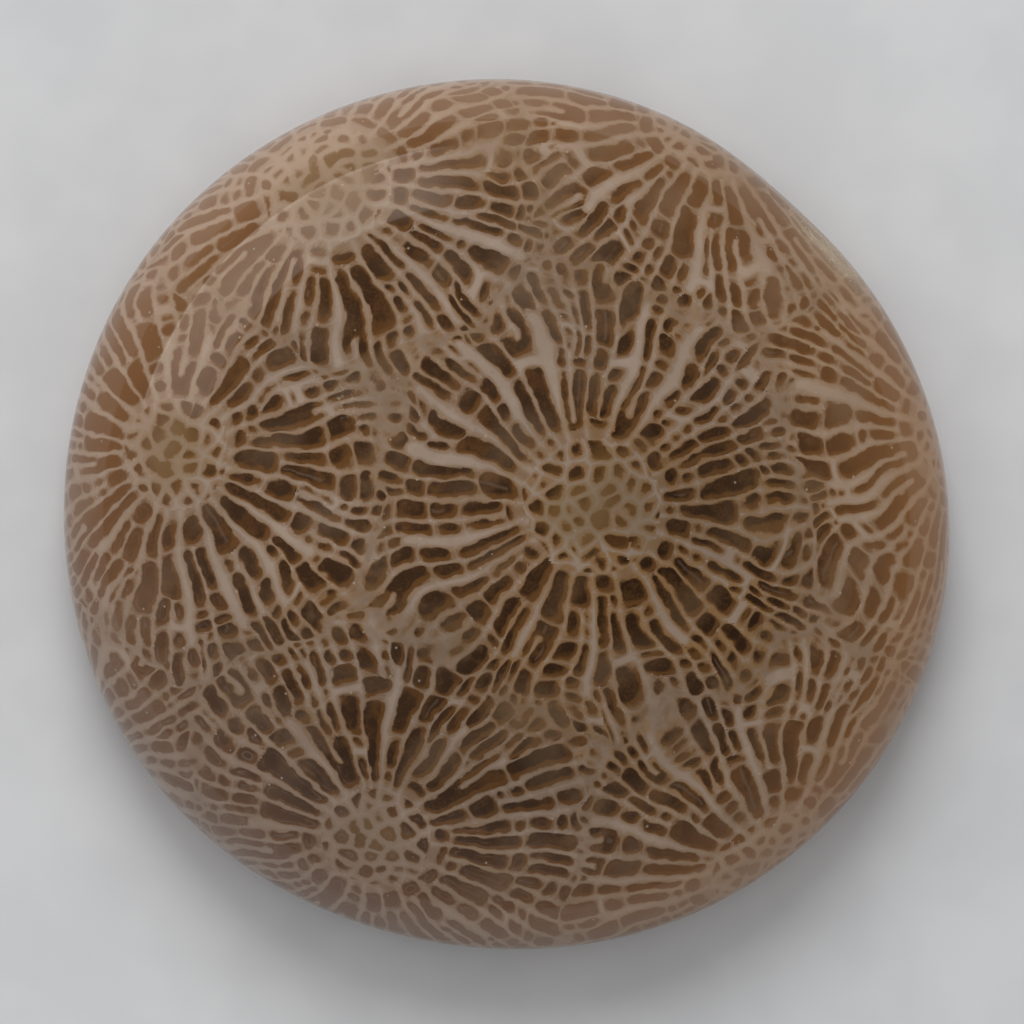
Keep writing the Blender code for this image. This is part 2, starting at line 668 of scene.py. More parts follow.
# %% Grow the rows of a cup outwards
def grow_rows(cup, random):
    septa = first_septa(cup, random)
    growing = []
    for low, high in zip(septa, septa[1:] + septa[:1]):
        growing.append(new_row(Side(low, 1), Side(high, -1), cup.ring, random))
    finished = []
    for radius in np.arange(cup.ring + FIRST_PARTING, REACH, GROWTH_STEP):
        following = []
        for row in growing:
            wide = gap(row, radius) > row.widest and radius > row.start + SHORTEST_ROW
            if wide:
                done, low_half, high_half = part(row, radius, random)
                finished.append(done)
                following += [low_half, high_half]
            else:
                following.append(row)
            septum = row.high.septum
            if row.high.branch < 0 and 0.0 <= radius - septum.stop < GROWTH_STEP:
                behind = new_row(Side(septum, -1), Side(septum, 1), septum.stop, random, septum)
                following.append(behind)
        growing = following
    return finished + growing


# %% [markdown]
# ## Distances instead of pictures
#
# The pattern isn't drawn. Each spot of the body is told how far away its nearest walls are, in
# mm, and the shader makes a chamber wherever every wall is further off than half its own
# thickness. Such distances change evenly from one corner of a face to the next, so the shader
# can cut a sharp edge between the corners. The places are measured on a map that is wobbled
# and bent a little, because nothing in a living coral is quite straight.
#
# One thing has to be looked after. Two neighbouring chambers don't measure to the same walls,
# and a number that jumps would be smeared if it were kept on the points, which neighbouring
# faces share. So it is kept on the corners of the faces: each face picks one chamber, by where
# its middle lies, and all its corners measure the walls of that chamber.

# %% Faces and their corners
def corner_tables(mesh):
    """The point of every corner, and the face of every corner."""
    point = np.empty(len(mesh.loops), dtype=np.int32)
    mesh.loops.foreach_get("vertex_index", point)
    corners_of = np.empty(len(mesh.polygons), dtype=np.int32)
    mesh.polygons.foreach_get("loop_total", corners_of)
    return point, np.repeat(np.arange(len(corners_of)), corners_of), corners_of


WAVE_COUNT = 14
WAVE_LENGTHS = (1.1, 2.6)


def soft_waves(places, size, seed):
    """Soft bumps about this size across, mostly between -1 and 1, with no repeat in sight."""
    random = np.random.default_rng(int(100 * seed))
    total = np.zeros(len(places))
    for _ in range(WAVE_COUNT):
        heading = random.uniform(0.0, 2 * math.pi)
        length = size * random.uniform(*WAVE_LENGTHS)
        along = places[:, 0] * math.cos(heading) + places[:, 1] * math.sin(heading)
        total += np.cos(2 * math.pi * along / length + random.uniform(0.0, 2 * math.pi))
    return total / math.sqrt(WAVE_COUNT)


# Each is (size of the bumps, how far they push) in mm.
WOBBLES = ((1.4, 0.065), (0.45, 0.022))
BEND = 0.19
BEND_SIZE = 2.2
BEND_FROM = 2.8
BEND_FULL_AFTER = 2.4
BEND_SEED = 3
WOBBLE_SEEDS = (11, 12)


def from_middle_of(cup, places):
    """Each place, as an offset from the middle of this cup."""
    return places - np.array(cup.centre)


def wobble_of(places, seed):
    return sum(push * soft_waves(places, size, seed + size) for size, push in WOBBLES)


def bend_of(places, seed):
    """Far from every middle the septa bend, because each coral had to make room for the next."""
    nearest = np.min([lengths(from_middle_of(cup, places)) for cup in cups], axis=0)
    far = smooth_rise((nearest - BEND_FROM) / BEND_FULL_AFTER)
    return BEND * far * soft_waves(places, BEND_SIZE, seed)


wobble = [wobble_of(places, seed) + bend_of(places, BEND_SEED + seed) for seed in WOBBLE_SEEDS]
wobbly = places + np.column_stack(wobble)
corner_point, corner_face, corners_of = corner_tables(stone.data)
corner_places = wobbly[corner_point]
face_places = np.column_stack(
    [np.bincount(corner_face, corner_places[:, axis]) / corners_of for axis in (0, 1)]
)
print("faces", len(face_places), "corners", len(corner_places))

# %% [markdown]
# ## Which corallite a face belongs to
#
# A face belongs to the nearest corallite. Soft waves are added to the distance from each middle,
# so the line between two corallites winds in and out and their rows interlock.
#
# A face whose middle lies in none of the corallite's rows is in its spongy middle.

# %% Share out the faces
RAGGED = 0.30
RAGGED_SIZE = 0.70
RAGGED_SEED = 31
CUP_SEED = 500

Layout = namedtuple("Layout", "rows random row_of_face")


def lay_out(number, cup):
    """Grows one cup's rows and finds the row of every face. -1 is the spongy middle."""
    random = np.random.default_rng(CUP_SEED + number)
    rows = grow_rows(cup, random)
    radius, angle = polar(from_middle_of(cup, face_places))
    near = np.flatnonzero(radius < REACH)
    row_of_face = np.full(len(radius), -1)
    for place, row in enumerate(rows):
        r = radius[near]
        inside = (r >= row.start) & (r < row.stop)
        some, r = near[inside], r[inside]
        inside = from_side(row.low, r, angle[some], r) >= 0.0
        some, r = some[inside], r[inside]
        some = some[from_side(row.high, r, angle[some], r) < 0.0]
        row_of_face[some] = place
    return Layout(rows, random, row_of_face)


def reach_of(number, cup):
    """Distance of every point from the cup's middle, with soft waves added."""
    away = lengths(from_middle_of(cup, wobbly))
    return away + RAGGED * soft_waves(wobbly, RAGGED_SIZE, RAGGED_SEED + number)


layouts = [lay_out(number, cup) for number, cup in enumerate(cups)]
reaches = np.array([reach_of(number, cup)[corner_point] for number, cup in enumerate(cups)])
face_reaches = np.array([np.bincount(corner_face, reach) / corners_of for reach in reaches])
owner, rival = np.argsort(face_reaches, axis=0)[:2]
print("rows in all:", sum(len(layout.rows) for layout in layouts))

# %% [markdown]
# ## The walls of a chamber
#
# Six walls are enough for any chamber: the septa on its two sides, the cross bars at its two
# ends, the border with the next corallite, and the club of a septum that ends there. For each
# there is a distance from the wall's middle line and half the wall's thickness.

# %% Tables for the corners
WALLS = 6
LOW_SIDE, HIGH_SIDE, INNER_BAR, OUTER_BAR, BORDER, ROUND_END = range(WALLS)
TONE, ALONG = 0, 1
FAR = 9.0
BORDER_HALF_WIDTH = 0.076

wall_distance = np.full((len(corner_places), WALLS), FAR)
wall_half = np.zeros((len(corner_places), WALLS))
wall_shift = np.zeros((len(corner_places), WALLS))
chamber = np.zeros((len(corner_places), 3))

# Painted light and shade: the floor of every chamber is moved aside of its mouth, by this much
# and always in this direction, so that a lit orange slope shows on one side of each chamber.
LIT_SLOPE_SHIFT = 0.11
LIT_SLOPE_TOWARDS = math.radians(-50.0)
print("tables for", len(chamber), "corners and", WALLS, "walls each")

# %% [markdown]
# ## Cross bars
#
# Thin cross bars part a row into chambers. They are far apart near the middle of the cup and
# closer further out, some chambers are short and round, and a few bars are thick. The bars
# could be spaced evenly, but then they would line up from row to row, so each row draws its
# own places from the cup's seeded random numbers.

# %% Cross bars along a row
LONG_CHAMBER = 1.7
SHORT_CHAMBER = 0.95
SHORTEST_CHAMBER = 0.35
SHORTENING_LENGTH = 2.4
CHAMBER_LENGTHS = (0.55, 1.5)
ROUND_CHAMBERS = 0.2
ROUND_CHAMBER_LENGTH = (0.34, 0.46)
FIRST_BAR_PLACE = (0.0, 0.30)
BAR_HALF_WIDTH = 0.076
THICK_BARS = 0.12
THICK_BAR = (1.8, 3.2)
PLAIN_BAR = (1.0, 1.3)
BAR_BOW = (-0.03, 0.10)
BAR_TILT = (-0.07, 0.07)

# A half width below 0 marks a wall that isn't there.
NO_BAR = -5.0


def bars_of(row, ring, random):
    """The cross bars of a row, as places and half widths. Chambers get shorter outwards."""
    at_ring = row.start == ring
    places_out = [row.start + at_ring * random.uniform(*FIRST_BAR_PLACE)]
    halves = [0.0 if row.tip else BAR_HALF_WIDTH]
    if row.first_tone is not None:
        halves = [NO_BAR]
    while places_out[-1] < row.stop:
        outward = min(1.0, max(0.0, (places_out[-1] - ring) / SHORTENING_LENGTH))
        length = LONG_CHAMBER + (SHORT_CHAMBER - LONG_CHAMBER) * outward
        length *= random.uniform(*CHAMBER_LENGTHS)
        if random.random() < ROUND_CHAMBERS:
            length = random.uniform(*ROUND_CHAMBER_LENGTH)
        thickness = THICK_BAR if random.random() < THICK_BARS else PLAIN_BAR
        places_out.append(places_out[-1] + length)
        halves.append(BAR_HALF_WIDTH * random.uniform(*thickness))
    if len(places_out) > 2 and row.stop - places_out[-2] < SHORTEST_CHAMBER:
        del places_out[-2], halves[-2]
    places_out[-1] = row.stop
    halves[-1] = BAR_HALF_WIDTH
    if row.next_septum:
        halves[-1] = NO_BAR
    return np.array(places_out), np.array(halves)


def tones_of(row, bars, random):
    """How light each chamber of the row is. One that runs past a new septum keeps its tone."""
    tones = random.uniform(0.0, 1.0, len(bars) + 1)
    if row.first_tone is not None:
        tones[1] = row.first_tone
    if row.next_septum:
        tones[len(bars) - 1] = row.last_tone
    return tones


def bowed(radius, low, high, bow, tilt):
    """The radius as the cross bars see it. They are a little bowed, and a little tilted."""
    across = (low + high) / np.maximum(low - high, 0.01)
    return radius + bow * across * across + tilt * across


# %% [markdown]
# ## One row in the tables
#
# Each small helper below fills in one sort of wall for a row: its two sides, its bars, the
# painted lit slope of its chambers, and the rounded end of a septum. The last one calls them in
# turn.

# %% Write one row
def number_faces(row, bars, bow, tilt, faces, polar_faces):
    """For every face: which chamber of the row it is in, and how far out its middle lies."""
    radius, angle = polar_faces
    low, high = (from_side(side, radius, angle, radius) for side in (row.low, row.high))
    number = np.searchsorted(bars, bowed(radius, low, high, bow, tilt))
    of_face = np.zeros((len(face_places), 2))
    of_face[faces] = np.column_stack([np.clip(number, 1, len(bars) - 1), radius])
    return of_face


def write_sides(row, corners, radius, face_radius, distances):
    """The septa on the two sides of the row."""
    for wall, side in ((LOW_SIDE, row.low), (HIGH_SIDE, row.high)):
        thickness = half_width(side, radius, face_radius) + swelling(side.septum, radius)
        wall_distance[corners, wall] = distances[wall]
        wall_half[corners, wall] = thickness


def write_bars(corners, number, bars, halves, lengthways):
    """The cross bars at the two ends of each chamber. Before the first bar all is wall."""
    past_bar = lengthways - bars[number - 1]
    past_bar[number == 1] = np.maximum(past_bar[number == 1], 0.0)
    wall_distance[corners, INNER_BAR] = past_bar
    wall_distance[corners, OUTER_BAR] = bars[number] - lengthways
    wall_half[corners, INNER_BAR] = halves[number - 1]
    wall_half[corners, OUTER_BAR] = halves[number]


def write_lit_slope(corners, angle):
    """How far the floor lies from the mouth, across and along the row: painted light and shade."""
    sideways = -LIT_SLOPE_SHIFT * np.sin(angle - LIT_SLOPE_TOWARDS)
    outwards = LIT_SLOPE_SHIFT * np.cos(angle - LIT_SLOPE_TOWARDS)
    wall_shift[corners, :BORDER] = np.column_stack([sideways, sideways, outwards, -outwards])


# %% Round ends, and how far along its chamber a corner lies
def write_round_end(row, corners, radius, angle, face_radius, distances):
    """The club of a septum that ends in this row, or the rounded start of a new one."""
    if row.tip:
        end = row.tip.stop
        half = blade_half_width(row.tip, end)
        sideways = sum(distances) / 2
    elif row.next_septum:
        end = row.stop
        half = row.next_septum.inner + START_SWELLING
        sideways = from_side(Side(row.next_septum, 1), radius, angle, face_radius)
    else:
        return
    wall_distance[corners, ROUND_END] = np.hypot(sideways, radius - end)
    wall_half[corners, ROUND_END] = half


def share_along(row, number, bars, lengthways):
    """0 at a chamber's inner end and 1 at its outer end, also for one that spans two rows."""
    along = (lengthways - bars[number - 1]) / (bars[number] - bars[number - 1])
    if row.next_septum:
        along = np.where(number == len(bars) - 1, along / 2, along)
    if row.first_tone is not None:
        along = np.where(number == 1, 0.5 + along / 2, along)
    return along


# %% Write all of a row
def write_row(row, ring, faces, polar_faces, corners, polar_corners, random):
    """Fills in the tables for the faces of one row and for their corners."""
    bars, halves = bars_of(row, ring, random)
    bow, tilt = random.uniform(*BAR_BOW), random.uniform(*BAR_TILT)
    tones = tones_of(row, bars, random)
    of_face = number_faces(row, bars, bow, tilt, faces, polar_faces)
    number, face_radius = of_face[corner_face[corners]].T
    number = number.astype(int)
    radius, angle = polar_corners
    sides = [from_side(side, radius, angle, face_radius) for side in (row.low, row.high)]
    lengthways = bowed(radius, *sides, bow, tilt)
    write_sides(row, corners, radius, face_radius, sides)
    write_bars(corners, number, bars, halves, lengthways)
    write_lit_slope(corners, angle)
    write_round_end(row, corners, radius, angle, face_radius, sides)
    chamber[corners, TONE] = tones[number]
    chamber[corners, ALONG] = share_along(row, number, bars, lengthways)


# %% [markdown]
# ## The spongy middle
#
# A corallite's middle, its columella, is a little sponge of rounded holes. Points are scattered
# on a jittered grid, and a hole is what lies nearer to one point than to any other. The wall
# between two holes is the line half way between their points. Here and there a wall is left
# out, so that two holes run together, and no two walls are quite as thick.

# %% Walls of the holes
HOLE_SPACING = 0.57
HOLE_ROW_SPACING = 0.866
HOLE_JITTER = 0.24
HOLE_WALL = 0.088
HOLE_LIT_SLOPE = 0.7
NEIGHBOURS = 5
MERGED_HOLES = 0.10
MERGING_REACH = 1.2
WALL_THICKNESSES = (0.9, 1.5)
RING_HALF_WIDTH = 0.076
PAST_THE_RING = 1.2


def hole_points(reach, random):
    steps = int(reach / HOLE_SPACING) + 2
    grid = [
        (HOLE_SPACING * (i + 0.5 * (j % 2)), HOLE_SPACING * HOLE_ROW_SPACING * j)
        for i in range(-steps, steps + 1)
        for j in range(-steps, steps + 1)
    ]
    grid = np.array(grid) + random.uniform(-HOLE_JITTER, HOLE_JITTER, (len(grid), 2))
    return grid[lengths(grid) < reach]


def merge_holes(holes, tones, random):
    """Some neighbouring holes run into one another. The table says which pairs do."""
    merged = np.zeros((len(holes), len(holes)), dtype=bool)
    for first in range(len(holes)):
        for second in range(first):
            near = np.hypot(*(holes[first] - holes[second])) < MERGING_REACH * HOLE_SPACING
            if near and random.random() < MERGED_HOLES:
                merged[first, second] = merged[second, first] = True
                tones[first] = tones[second]
    return merged


def nearest_holes(cup, holes, faces, corners):
    """For every corner, the hole that its face is in and that hole's neighbours."""
    here = from_middle_of(cup, face_places[faces])
    gaps = np.hypot(here[:, :1] - holes[None, :, 0], here[:, 1:] - holes[None, :, 1])
    order = np.zeros((len(face_places), NEIGHBOURS + 1), dtype=np.int32)
    order[faces] = np.argsort(gaps, axis=1)[:, : NEIGHBOURS + 1]
    return order[corner_face[corners]]


def write_middle(cup, faces, corners, random):
    """Fills in the tables for the faces of one cup's middle. The ring round it is the last wall."""
    holes = hole_points(cup.ring + PAST_THE_RING, random)
    outward = np.clip(lengths(holes) / cup.ring, 0.0, 1.2)
    tones = random.uniform(0.0, 1.0, len(holes))
    walls = HOLE_WALL * random.uniform(*WALL_THICKNESSES, len(holes)) * (0.95 + 0.25 * outward)
    merged = merge_holes(holes, tones, random)
    own, *others = nearest_holes(cup, holes, faces, corners).T
    here = from_middle_of(cup, corner_places[corners])
    # Painted light and shade: the holes of the sponge get the same one-sided lit slope, a little
    # weaker.
    lit_slope = HOLE_LIT_SLOPE * LIT_SLOPE_SHIFT * np.array([math.cos(LIT_SLOPE_TOWARDS), math.sin(LIT_SLOPE_TOWARDS)])
    for wall, other in enumerate(others):
        towards = holes[other] - holes[own]
        half_way = (holes[other] + holes[own]) / 2
        towards = towards / lengths(towards)[:, None]
        half = (walls[own] + walls[other]) / 2
        wall_distance[corners, wall] = ((half_way - here) * towards).sum(axis=1)
        wall_half[corners, wall] = np.where(merged[own, other], NO_BAR, half)
        wall_shift[corners, wall] = -(towards @ lit_slope)
    wall_distance[corners, -1] = cup.ring - lengths(here)
    wall_half[corners, -1] = RING_HALF_WIDTH
    chamber[corners, TONE] = tones[own]
    chamber[corners, ALONG] = 0.5


# %% [markdown]
# ## Filling the tables
#
# Now the faces of each corallite are handed to the two helpers above, row by row. Two numbers
# are the same sort for every chamber and come last: how far the border with the next corallite
# is, and how far out the spongy middle reaches. It fades out in soft waves.

# %% Fill the tables, cup by cup
def write_cup(number, cup, layout):
    """Hands each row, and then the spongy middle, its own faces and corners."""
    mine = owner == number
    for place, row in enumerate(layout.rows):
        chosen = mine & (layout.row_of_face == place)
        if chosen.any():
            faces = np.flatnonzero(chosen)
            corners = np.flatnonzero(chosen[corner_face])
            at_faces = polar(from_middle_of(cup, face_places[faces]))
            at_corners = polar(from_middle_of(cup, corner_places[corners]))
            write_row(row, cup.ring, faces, at_faces, corners, at_corners, layout.random)
    chosen = mine & (layout.row_of_face < 0)
    if chosen.any():
        faces = np.flatnonzero(chosen)
        write_middle(cup, faces, np.flatnonzero(chosen[corner_face]), layout.random)


for number, (cup, layout) in enumerate(zip(cups, layouts)):
    write_cup(number, cup, layout)

no_wall = wall_half < 0.0
wall_distance[no_wall] = FAR
wall_half[no_wall] = 0.0
print("walls left out:", int(no_wall.sum()))

# %% The border, and how far out each middle reaches
MIDDLE_EDGE_WAVES = 0.35
MIDDLE_EDGE_SIZE = 1.0
MIDDLE_EDGE_SEED = 25

centres = np.array([cup.centre for cup in cups])
rings = np.array([cup.ring for cup in cups])
everyone = np.arange(len(face_places))
every_corner = np.arange(len(corner_places))
own_radius = lengths(corner_places - centres[owner[corner_face]])
in_rows = np.array([layout.row_of_face for layout in layouts])[owner, everyone] >= 0
border = (reaches[rival[corner_face], every_corner] - reaches[owner[corner_face], every_corner]) / 2
at_border = in_rows[corner_face]
wall_distance[at_border, BORDER] = border[at_border]
wall_half[at_border, BORDER] = BORDER_HALF_WIDTH
from_middle = own_radius - rings[owner[corner_face]]
middle_edge = soft_waves(places, MIDDLE_EDGE_SIZE, MIDDLE_EDGE_SEED)[corner_point]
from_middle += MIDDLE_EDGE_WAVES * middle_edge
print("corners near a border:", int((border < 0.2).sum()))

# %% [markdown]
# ## Numbers on the mesh
#
# Blender keeps such numbers as attributes of the mesh, and a shader reads them by name. Three
# numbers fit in one vector, so each of the tables of six takes two vectors, a and b.

# %% Write the attributes
# How ragged the edge of a chamber is, as (how far, size of the bumps, seed).
RAGGED_EDGES = ((0.026, 0.26, 21), (0.022, 0.5, 22))


def write_vectors(mesh, name, values):
    made = mesh.attributes.new(name, "FLOAT_VECTOR", "CORNER")
    made.data.foreach_set("vector", values.astype(np.float32).ravel())


def write_numbers(mesh, name, values, domain):
    made = mesh.attributes.new(name, "FLOAT", domain)
    made.data.foreach_set("value", values.astype(np.float32))


raggedness = sum(far * soft_waves(places, size, seed) for far, size, seed in RAGGED_EDGES)
for name, table in {"shifts": wall_shift, "walls": wall_distance, "halves": wall_half}.items():
    write_vectors(stone.data, name + " a", table[:, :3])
    write_vectors(stone.data, name + " b", table[:, 3:])
write_vectors(stone.data, "chamber", chamber)
write_numbers(stone.data, "from middle", from_middle, "CORNER")
write_numbers(stone.data, "border", border, "CORNER")
write_numbers(stone.data, "ragged", raggedness, "POINT")
print("attributes:", [a.name for a in stone.data.attributes if a.domain == "CORNER"])

# %% [markdown]
# ## How the colour changes over the stone
#
# The middle of the stone is thick and dark. Near the rim it is thin, light gets in from the
# side, and the chambers turn from dark brown to a warm amber; on the two lit sides that amber is
# partly painted light. A dim grey veil over the lower left and a pale one on the upper-left rim are
# painted reflections, and some parts are made brighter or dimmer with painted light and shade.
# These are slow changes, so plain numbers on the points carry them well.

# %% Sides, spots and rings of the stone
turn, share = angle_and_share(points)


def towards(direction, spread):
    """1 in this direction from the stone's middle, and falling off to both sides."""
    away = wrapped(turn - math.radians(direction)) / math.radians(spread)
    return np.exp(-(away**2))


def spot(x, y, size):
    """1 at this place, in mm from the stone's middle, and falling off round it."""
    away = np.hypot(points[:, 0] / MM - x, points[:, 1] / MM - y) / size
    return np.exp(-(away**2))


def outwards_from(start, width):
    """0 as far out as this share of the radius, and 1 once the width is passed."""
    return smooth_rise((share - start) / width)


# %% [markdown]
# ## Where each change lies
#
# Every change is a side, a ring or a spot, or a product of them, times how strong it is. A side
# is (direction, spread) in degrees, a ring is (start, width) as shares of the radius, and a spot
# is (x, y, size) in mm.

# %% Thin silica at the rim with painted light on the lit sides, a painted reflection lower left
LIT_RIGHT = (20, 62)
LIT_UPPER_LEFT = (145, 45)
THIN_FROM_SHARE = 0.72
THIN_FULL_SHARE = 1.04
# Painted light: on the two lit sides the rim's amber starts further in and is stronger.
lit = np.maximum(0.85 * towards(*LIT_RIGHT), towards(*LIT_UPPER_LEFT))
thin_from = THIN_FROM_SHARE - 0.20 * lit
thin = outwards_from(thin_from, THIN_FULL_SHARE - thin_from) * (0.72 + 0.28 * lit)

# Painted reflection: a dim grey veil over the lower left, from the middle of the radius outwards.
GREY_REFLECTION_SIDE = (232, 48)
GREY_REFLECTION_RING = (0.52, 0.4)
grey_reflection = towards(*GREY_REFLECTION_SIDE) * outwards_from(*GREY_REFLECTION_RING)
print("thin on", round(100 * float((thin > 0.5).mean())), "percent of the points")

# %% Painted light and shade: brighter and dimmer parts
BRIGHT_SIDE = (285, 88)
BRIGHT_BAND_STARTS = (0.62, 0.14)
BRIGHT_BAND_STOPS = (0.90, 0.08)
DIM_SIDE = (48, 24)
DIM_RING = (0.80, 0.08)
DIM_SPOTS = ((0.19, (4.7, 0.3, 2.5)), (0.12, (-2.0, -3.4, 1.5)))
LIT_SPOT = (-5.2, -0.6, 3.4)
# Painted light and shade: the whole colour is scaled brighter or dimmer by side, ring and spot.
band = outwards_from(*BRIGHT_BAND_STARTS) * (1.0 - outwards_from(*BRIGHT_BAND_STOPS))
painted_brightness = 0.26 * towards(*BRIGHT_SIDE) * band
painted_brightness -= 0.16 * towards(*DIM_SIDE) * outwards_from(*DIM_RING)
painted_brightness -= sum(amount * spot(*place) for amount, place in DIM_SPOTS)
painted_brightness += 0.13 * spot(*LIT_SPOT)
print("brightness from", round(1 + painted_brightness.min(), 2), "to", round(1 + painted_brightness.max(), 2))

# %% Colours along the rim
EDGE_RING = (0.84, 0.14)
GOLDEN_SIDE = (340, 60)
PALE_SIDE = (180, 62)
PALE_RING = (0.78, 0.14)
PALE_REFLECTION_SIDE = (122, 27)
PALE_REFLECTION_RING = (0.84, 0.1)
# The rim's amber is weaker under the painted grey reflection.
edge = outwards_from(*EDGE_RING) * (1.0 - 0.8 * grey_reflection)
golden = edge * (0.3 + 0.7 * towards(*GOLDEN_SIDE))
pale = towards(*PALE_SIDE) * outwards_from(*PALE_RING)
# Painted reflection: a pale veil over the upper-left rim.
pale_reflection = towards(*PALE_REFLECTION_SIDE) * outwards_from(*PALE_REFLECTION_RING)

# %% Worn, pitted, stained and hazy places
WORN_SPOT = (9.3, 7.6, 1.5)
WORN_RING = (0.93, 0.05)
PITTED_SPOT = (-4.5, 3.3, 0.45)
STAINED_SPOT = (4.2, -1.6, 4.4)
worn = spot(*WORN_SPOT) * outwards_from(*WORN_RING)
pits = 0.6 * spot(*PITTED_SPOT)
stain = 0.25 + 0.85 * spot(*STAINED_SPOT) + 0.22 * soft_waves(places, 2.6, 23)
stain = np.clip(stain, 0, 1)

HAZY_SPOTS = (
    (1.3, 6.4, 2.0), (0.8, -5.8, 1.5), (-6.8, -5.2, 1.1), (-3.4, 3.6, 1.2), (6.8, 0.3, 0.9),
    (0.3, 10.4, 2.3), (-4.6, 8.9, 1.6),
)
hazy = sum(spot(*place) for place in HAZY_SPOTS)
hazy = np.clip(0.55 * hazy + 0.28 * soft_waves(places, 1.5, 24), 0, 1)

# %% Write the slow changes on the points
slow_changes = {
    "thin": thin, "edge": edge, "stain": stain, "pale_reflection": pale_reflection, "hazy": hazy,
    "grey_reflection": grey_reflection, "golden": golden, "pale": pale, "painted_brightness": painted_brightness, "worn": worn, "pits": pits,
}
for name, values in slow_changes.items():
    write_numbers(stone.data, name, values, "POINT")
print("slow changes:", ", ".join(slow_changes))

# %% [markdown]
# ## The finish
#
# Polished chalcedony is a clear, glossy skin over colour that sits a little below it. Three
# colours make the stone: cream walls, dark brown chambers, and an orange brown where a wall
# slopes down into a chamber and is seen through the clear silica.

# %% Colours
def linear(red, green, blue):
    """A screen colour, from 0 to 255, as the light values that a shader works with."""
    values = [c / 255.0 for c in (red, green, blue)]
    light = [v / 12.92 if v <= 0.04045 else ((v + 0.055) / 1.055) ** 2.4 for v in values]
    return (*light, 1.0)


CREAM = linear(141, 121, 104)
CREAM_PALE = linear(165, 148, 134)
CREAM_THIN = linear(162, 133, 104)
CREAM_BLEACHED = linear(178, 158, 142)
CHAMBER_DARK = linear(63, 43, 27)
CHAMBER_EDGE = linear(102, 68, 34)
CHAMBER_THIN = linear(124, 78, 32)
TAN = linear(146, 112, 74)
BAR_BROWN = linear(120, 90, 62)
SPONGE = linear(110, 78, 38)
SPONGE_DEEP = linear(80, 50, 18)
SPONGE_WALL = linear(136, 116, 90)
CHAMBER_STAINED = linear(48, 28, 9)
CHAMBER_RIM = linear(100, 60, 16)
STREAK = linear(112, 93, 80)
LINING = linear(128, 112, 106)
RIM_AMBER = linear(166, 108, 28)
HAZE = linear(116, 94, 72)
# Painted reflection: the pale veil over the upper-left rim.
PALE_REFLECTION = linear(178, 154, 134)
SPECK = linear(178, 164, 146)
# Painted reflection: the dim grey veil over the lower left.
GREY_REFLECTION = linear(112, 97, 92)
WORN_SKIN = linear(190, 178, 152)


def mix_colour(factor, first, second):
    """The first colour where the factor is 0, and the second where it is 1."""
    node = add_node(factor.tree, "ShaderNodeMix", data_type="RGBA")
    for place, value in ((0, factor), (6, first), (7, second)):
        feed(node.inputs[place], value)
    return out_of(node, 2)


def ramp(value, low, high):
    """0 below low, 1 above high, and a smooth rise between."""
    inputs = {"Value": value, "From Min": low, "From Max": high}
    node = add_node(value.tree, "ShaderNodeMapRange", inputs, interpolation_type="SMOOTHSTEP")
    return out_of(node)


def noise(place, size, detail=2.0):
    """Soft noise from about 0.3 to 0.7, with bumps of this size in mm."""
    inputs = {"Vector": place, "Scale": 1.0 / (size * MM), "Detail": detail, "Roughness": 0.55}
    return out_of(add_node(place.tree, "ShaderNodeTexNoise", inputs))


def read_number(tree, name):
    return out_of(add_node(tree, "ShaderNodeAttribute", attribute_name=name), "Fac")


def read_vector(tree, name):
    node = add_node(tree, "ShaderNodeAttribute", attribute_name=name)
    return parts_of(out_of(node, "Vector"))


# %% [markdown]
# ## The mouth and the floor of a chamber
#
# A chamber's wall slopes down into the stone under the clear silica. Its floor is drawn a little
# aside of its mouth, always to the same side: that is painted light and shade, a lit slope on one
# side of every chamber. The room inside is therefore worked out twice: once for the mouth, and
# once with all the walls shifted by that offset. Where the spot is inside the mouth but not over
# the floor, the sloping wall shows, in orange brown. That gives each chamber its depth without any
# relief.

# %% The room inside a chamber
CORNER_ROUNDING = 0.34
SIDE_ROUNDING = 0.14

# Half the thickness of the thinnest wall. A wall is never open at its middle.
THINNEST = 0.076


def soft_minimum(first, second, rounding):
    """The smaller of two distances, with the corner between them rounded off."""
    return calculate("SMOOTH_MIN", first, second, rounding)


def free_of_walls(distances, halves):
    """How far the spot is from the face of each wall, in mm. It is less than 0 in a wall."""
    sizes = [calculate("ABSOLUTE", distance) for distance in distances]
    return [size - half for size, half in zip(sizes, halves)]


def room_inside(free):
    """How far inside a chamber a spot is, in mm, and whether a cross bar is the nearest wall."""
    low, high, first_bar, last_bar, border, club = free
    across = soft_minimum(low, high, SIDE_ROUNDING)
    along = soft_minimum(first_bar, last_bar, SIDE_ROUNDING)
    room = soft_minimum(across, along, CORNER_ROUNDING)
    room = soft_minimum(room, border, CORNER_ROUNDING)
    return soft_minimum(room, club, SIDE_ROUNDING), ramp(across - along, 0.0, 0.07)


def read_six(tree, name):
    return read_vector(tree, name + " a") + read_vector(tree, name + " b")


def mouth_and_floor(tree):
    """The room at the mouth and at the floor of a chamber, and whether a bar is nearest."""
    walls, halves, shifts = (read_six(tree, name) for name in ("walls", "halves", "shifts"))
    # Painted light and shade: the walls moved aside give the floor, and so the lit slope on one
    # side.
    shifted = [wall + shift for wall, shift in zip(walls, shifts)]
    mouth, by_bar = room_inside(free_of_walls(walls, halves))
    floor, _ = room_inside(free_of_walls(shifted, halves))
    return mouth, floor, by_bar


# %% [markdown]
# ## Colour from the distances
#
# Chambers and walls each get a colour of their own, and the mouth's distance mixes the two. Fine
# noise makes the edge a little ragged. Then come the things that lie over everything: haze in
# the silica, two painted reflections as grey and pale veils, amber at the rim, and a few bright
# specks.

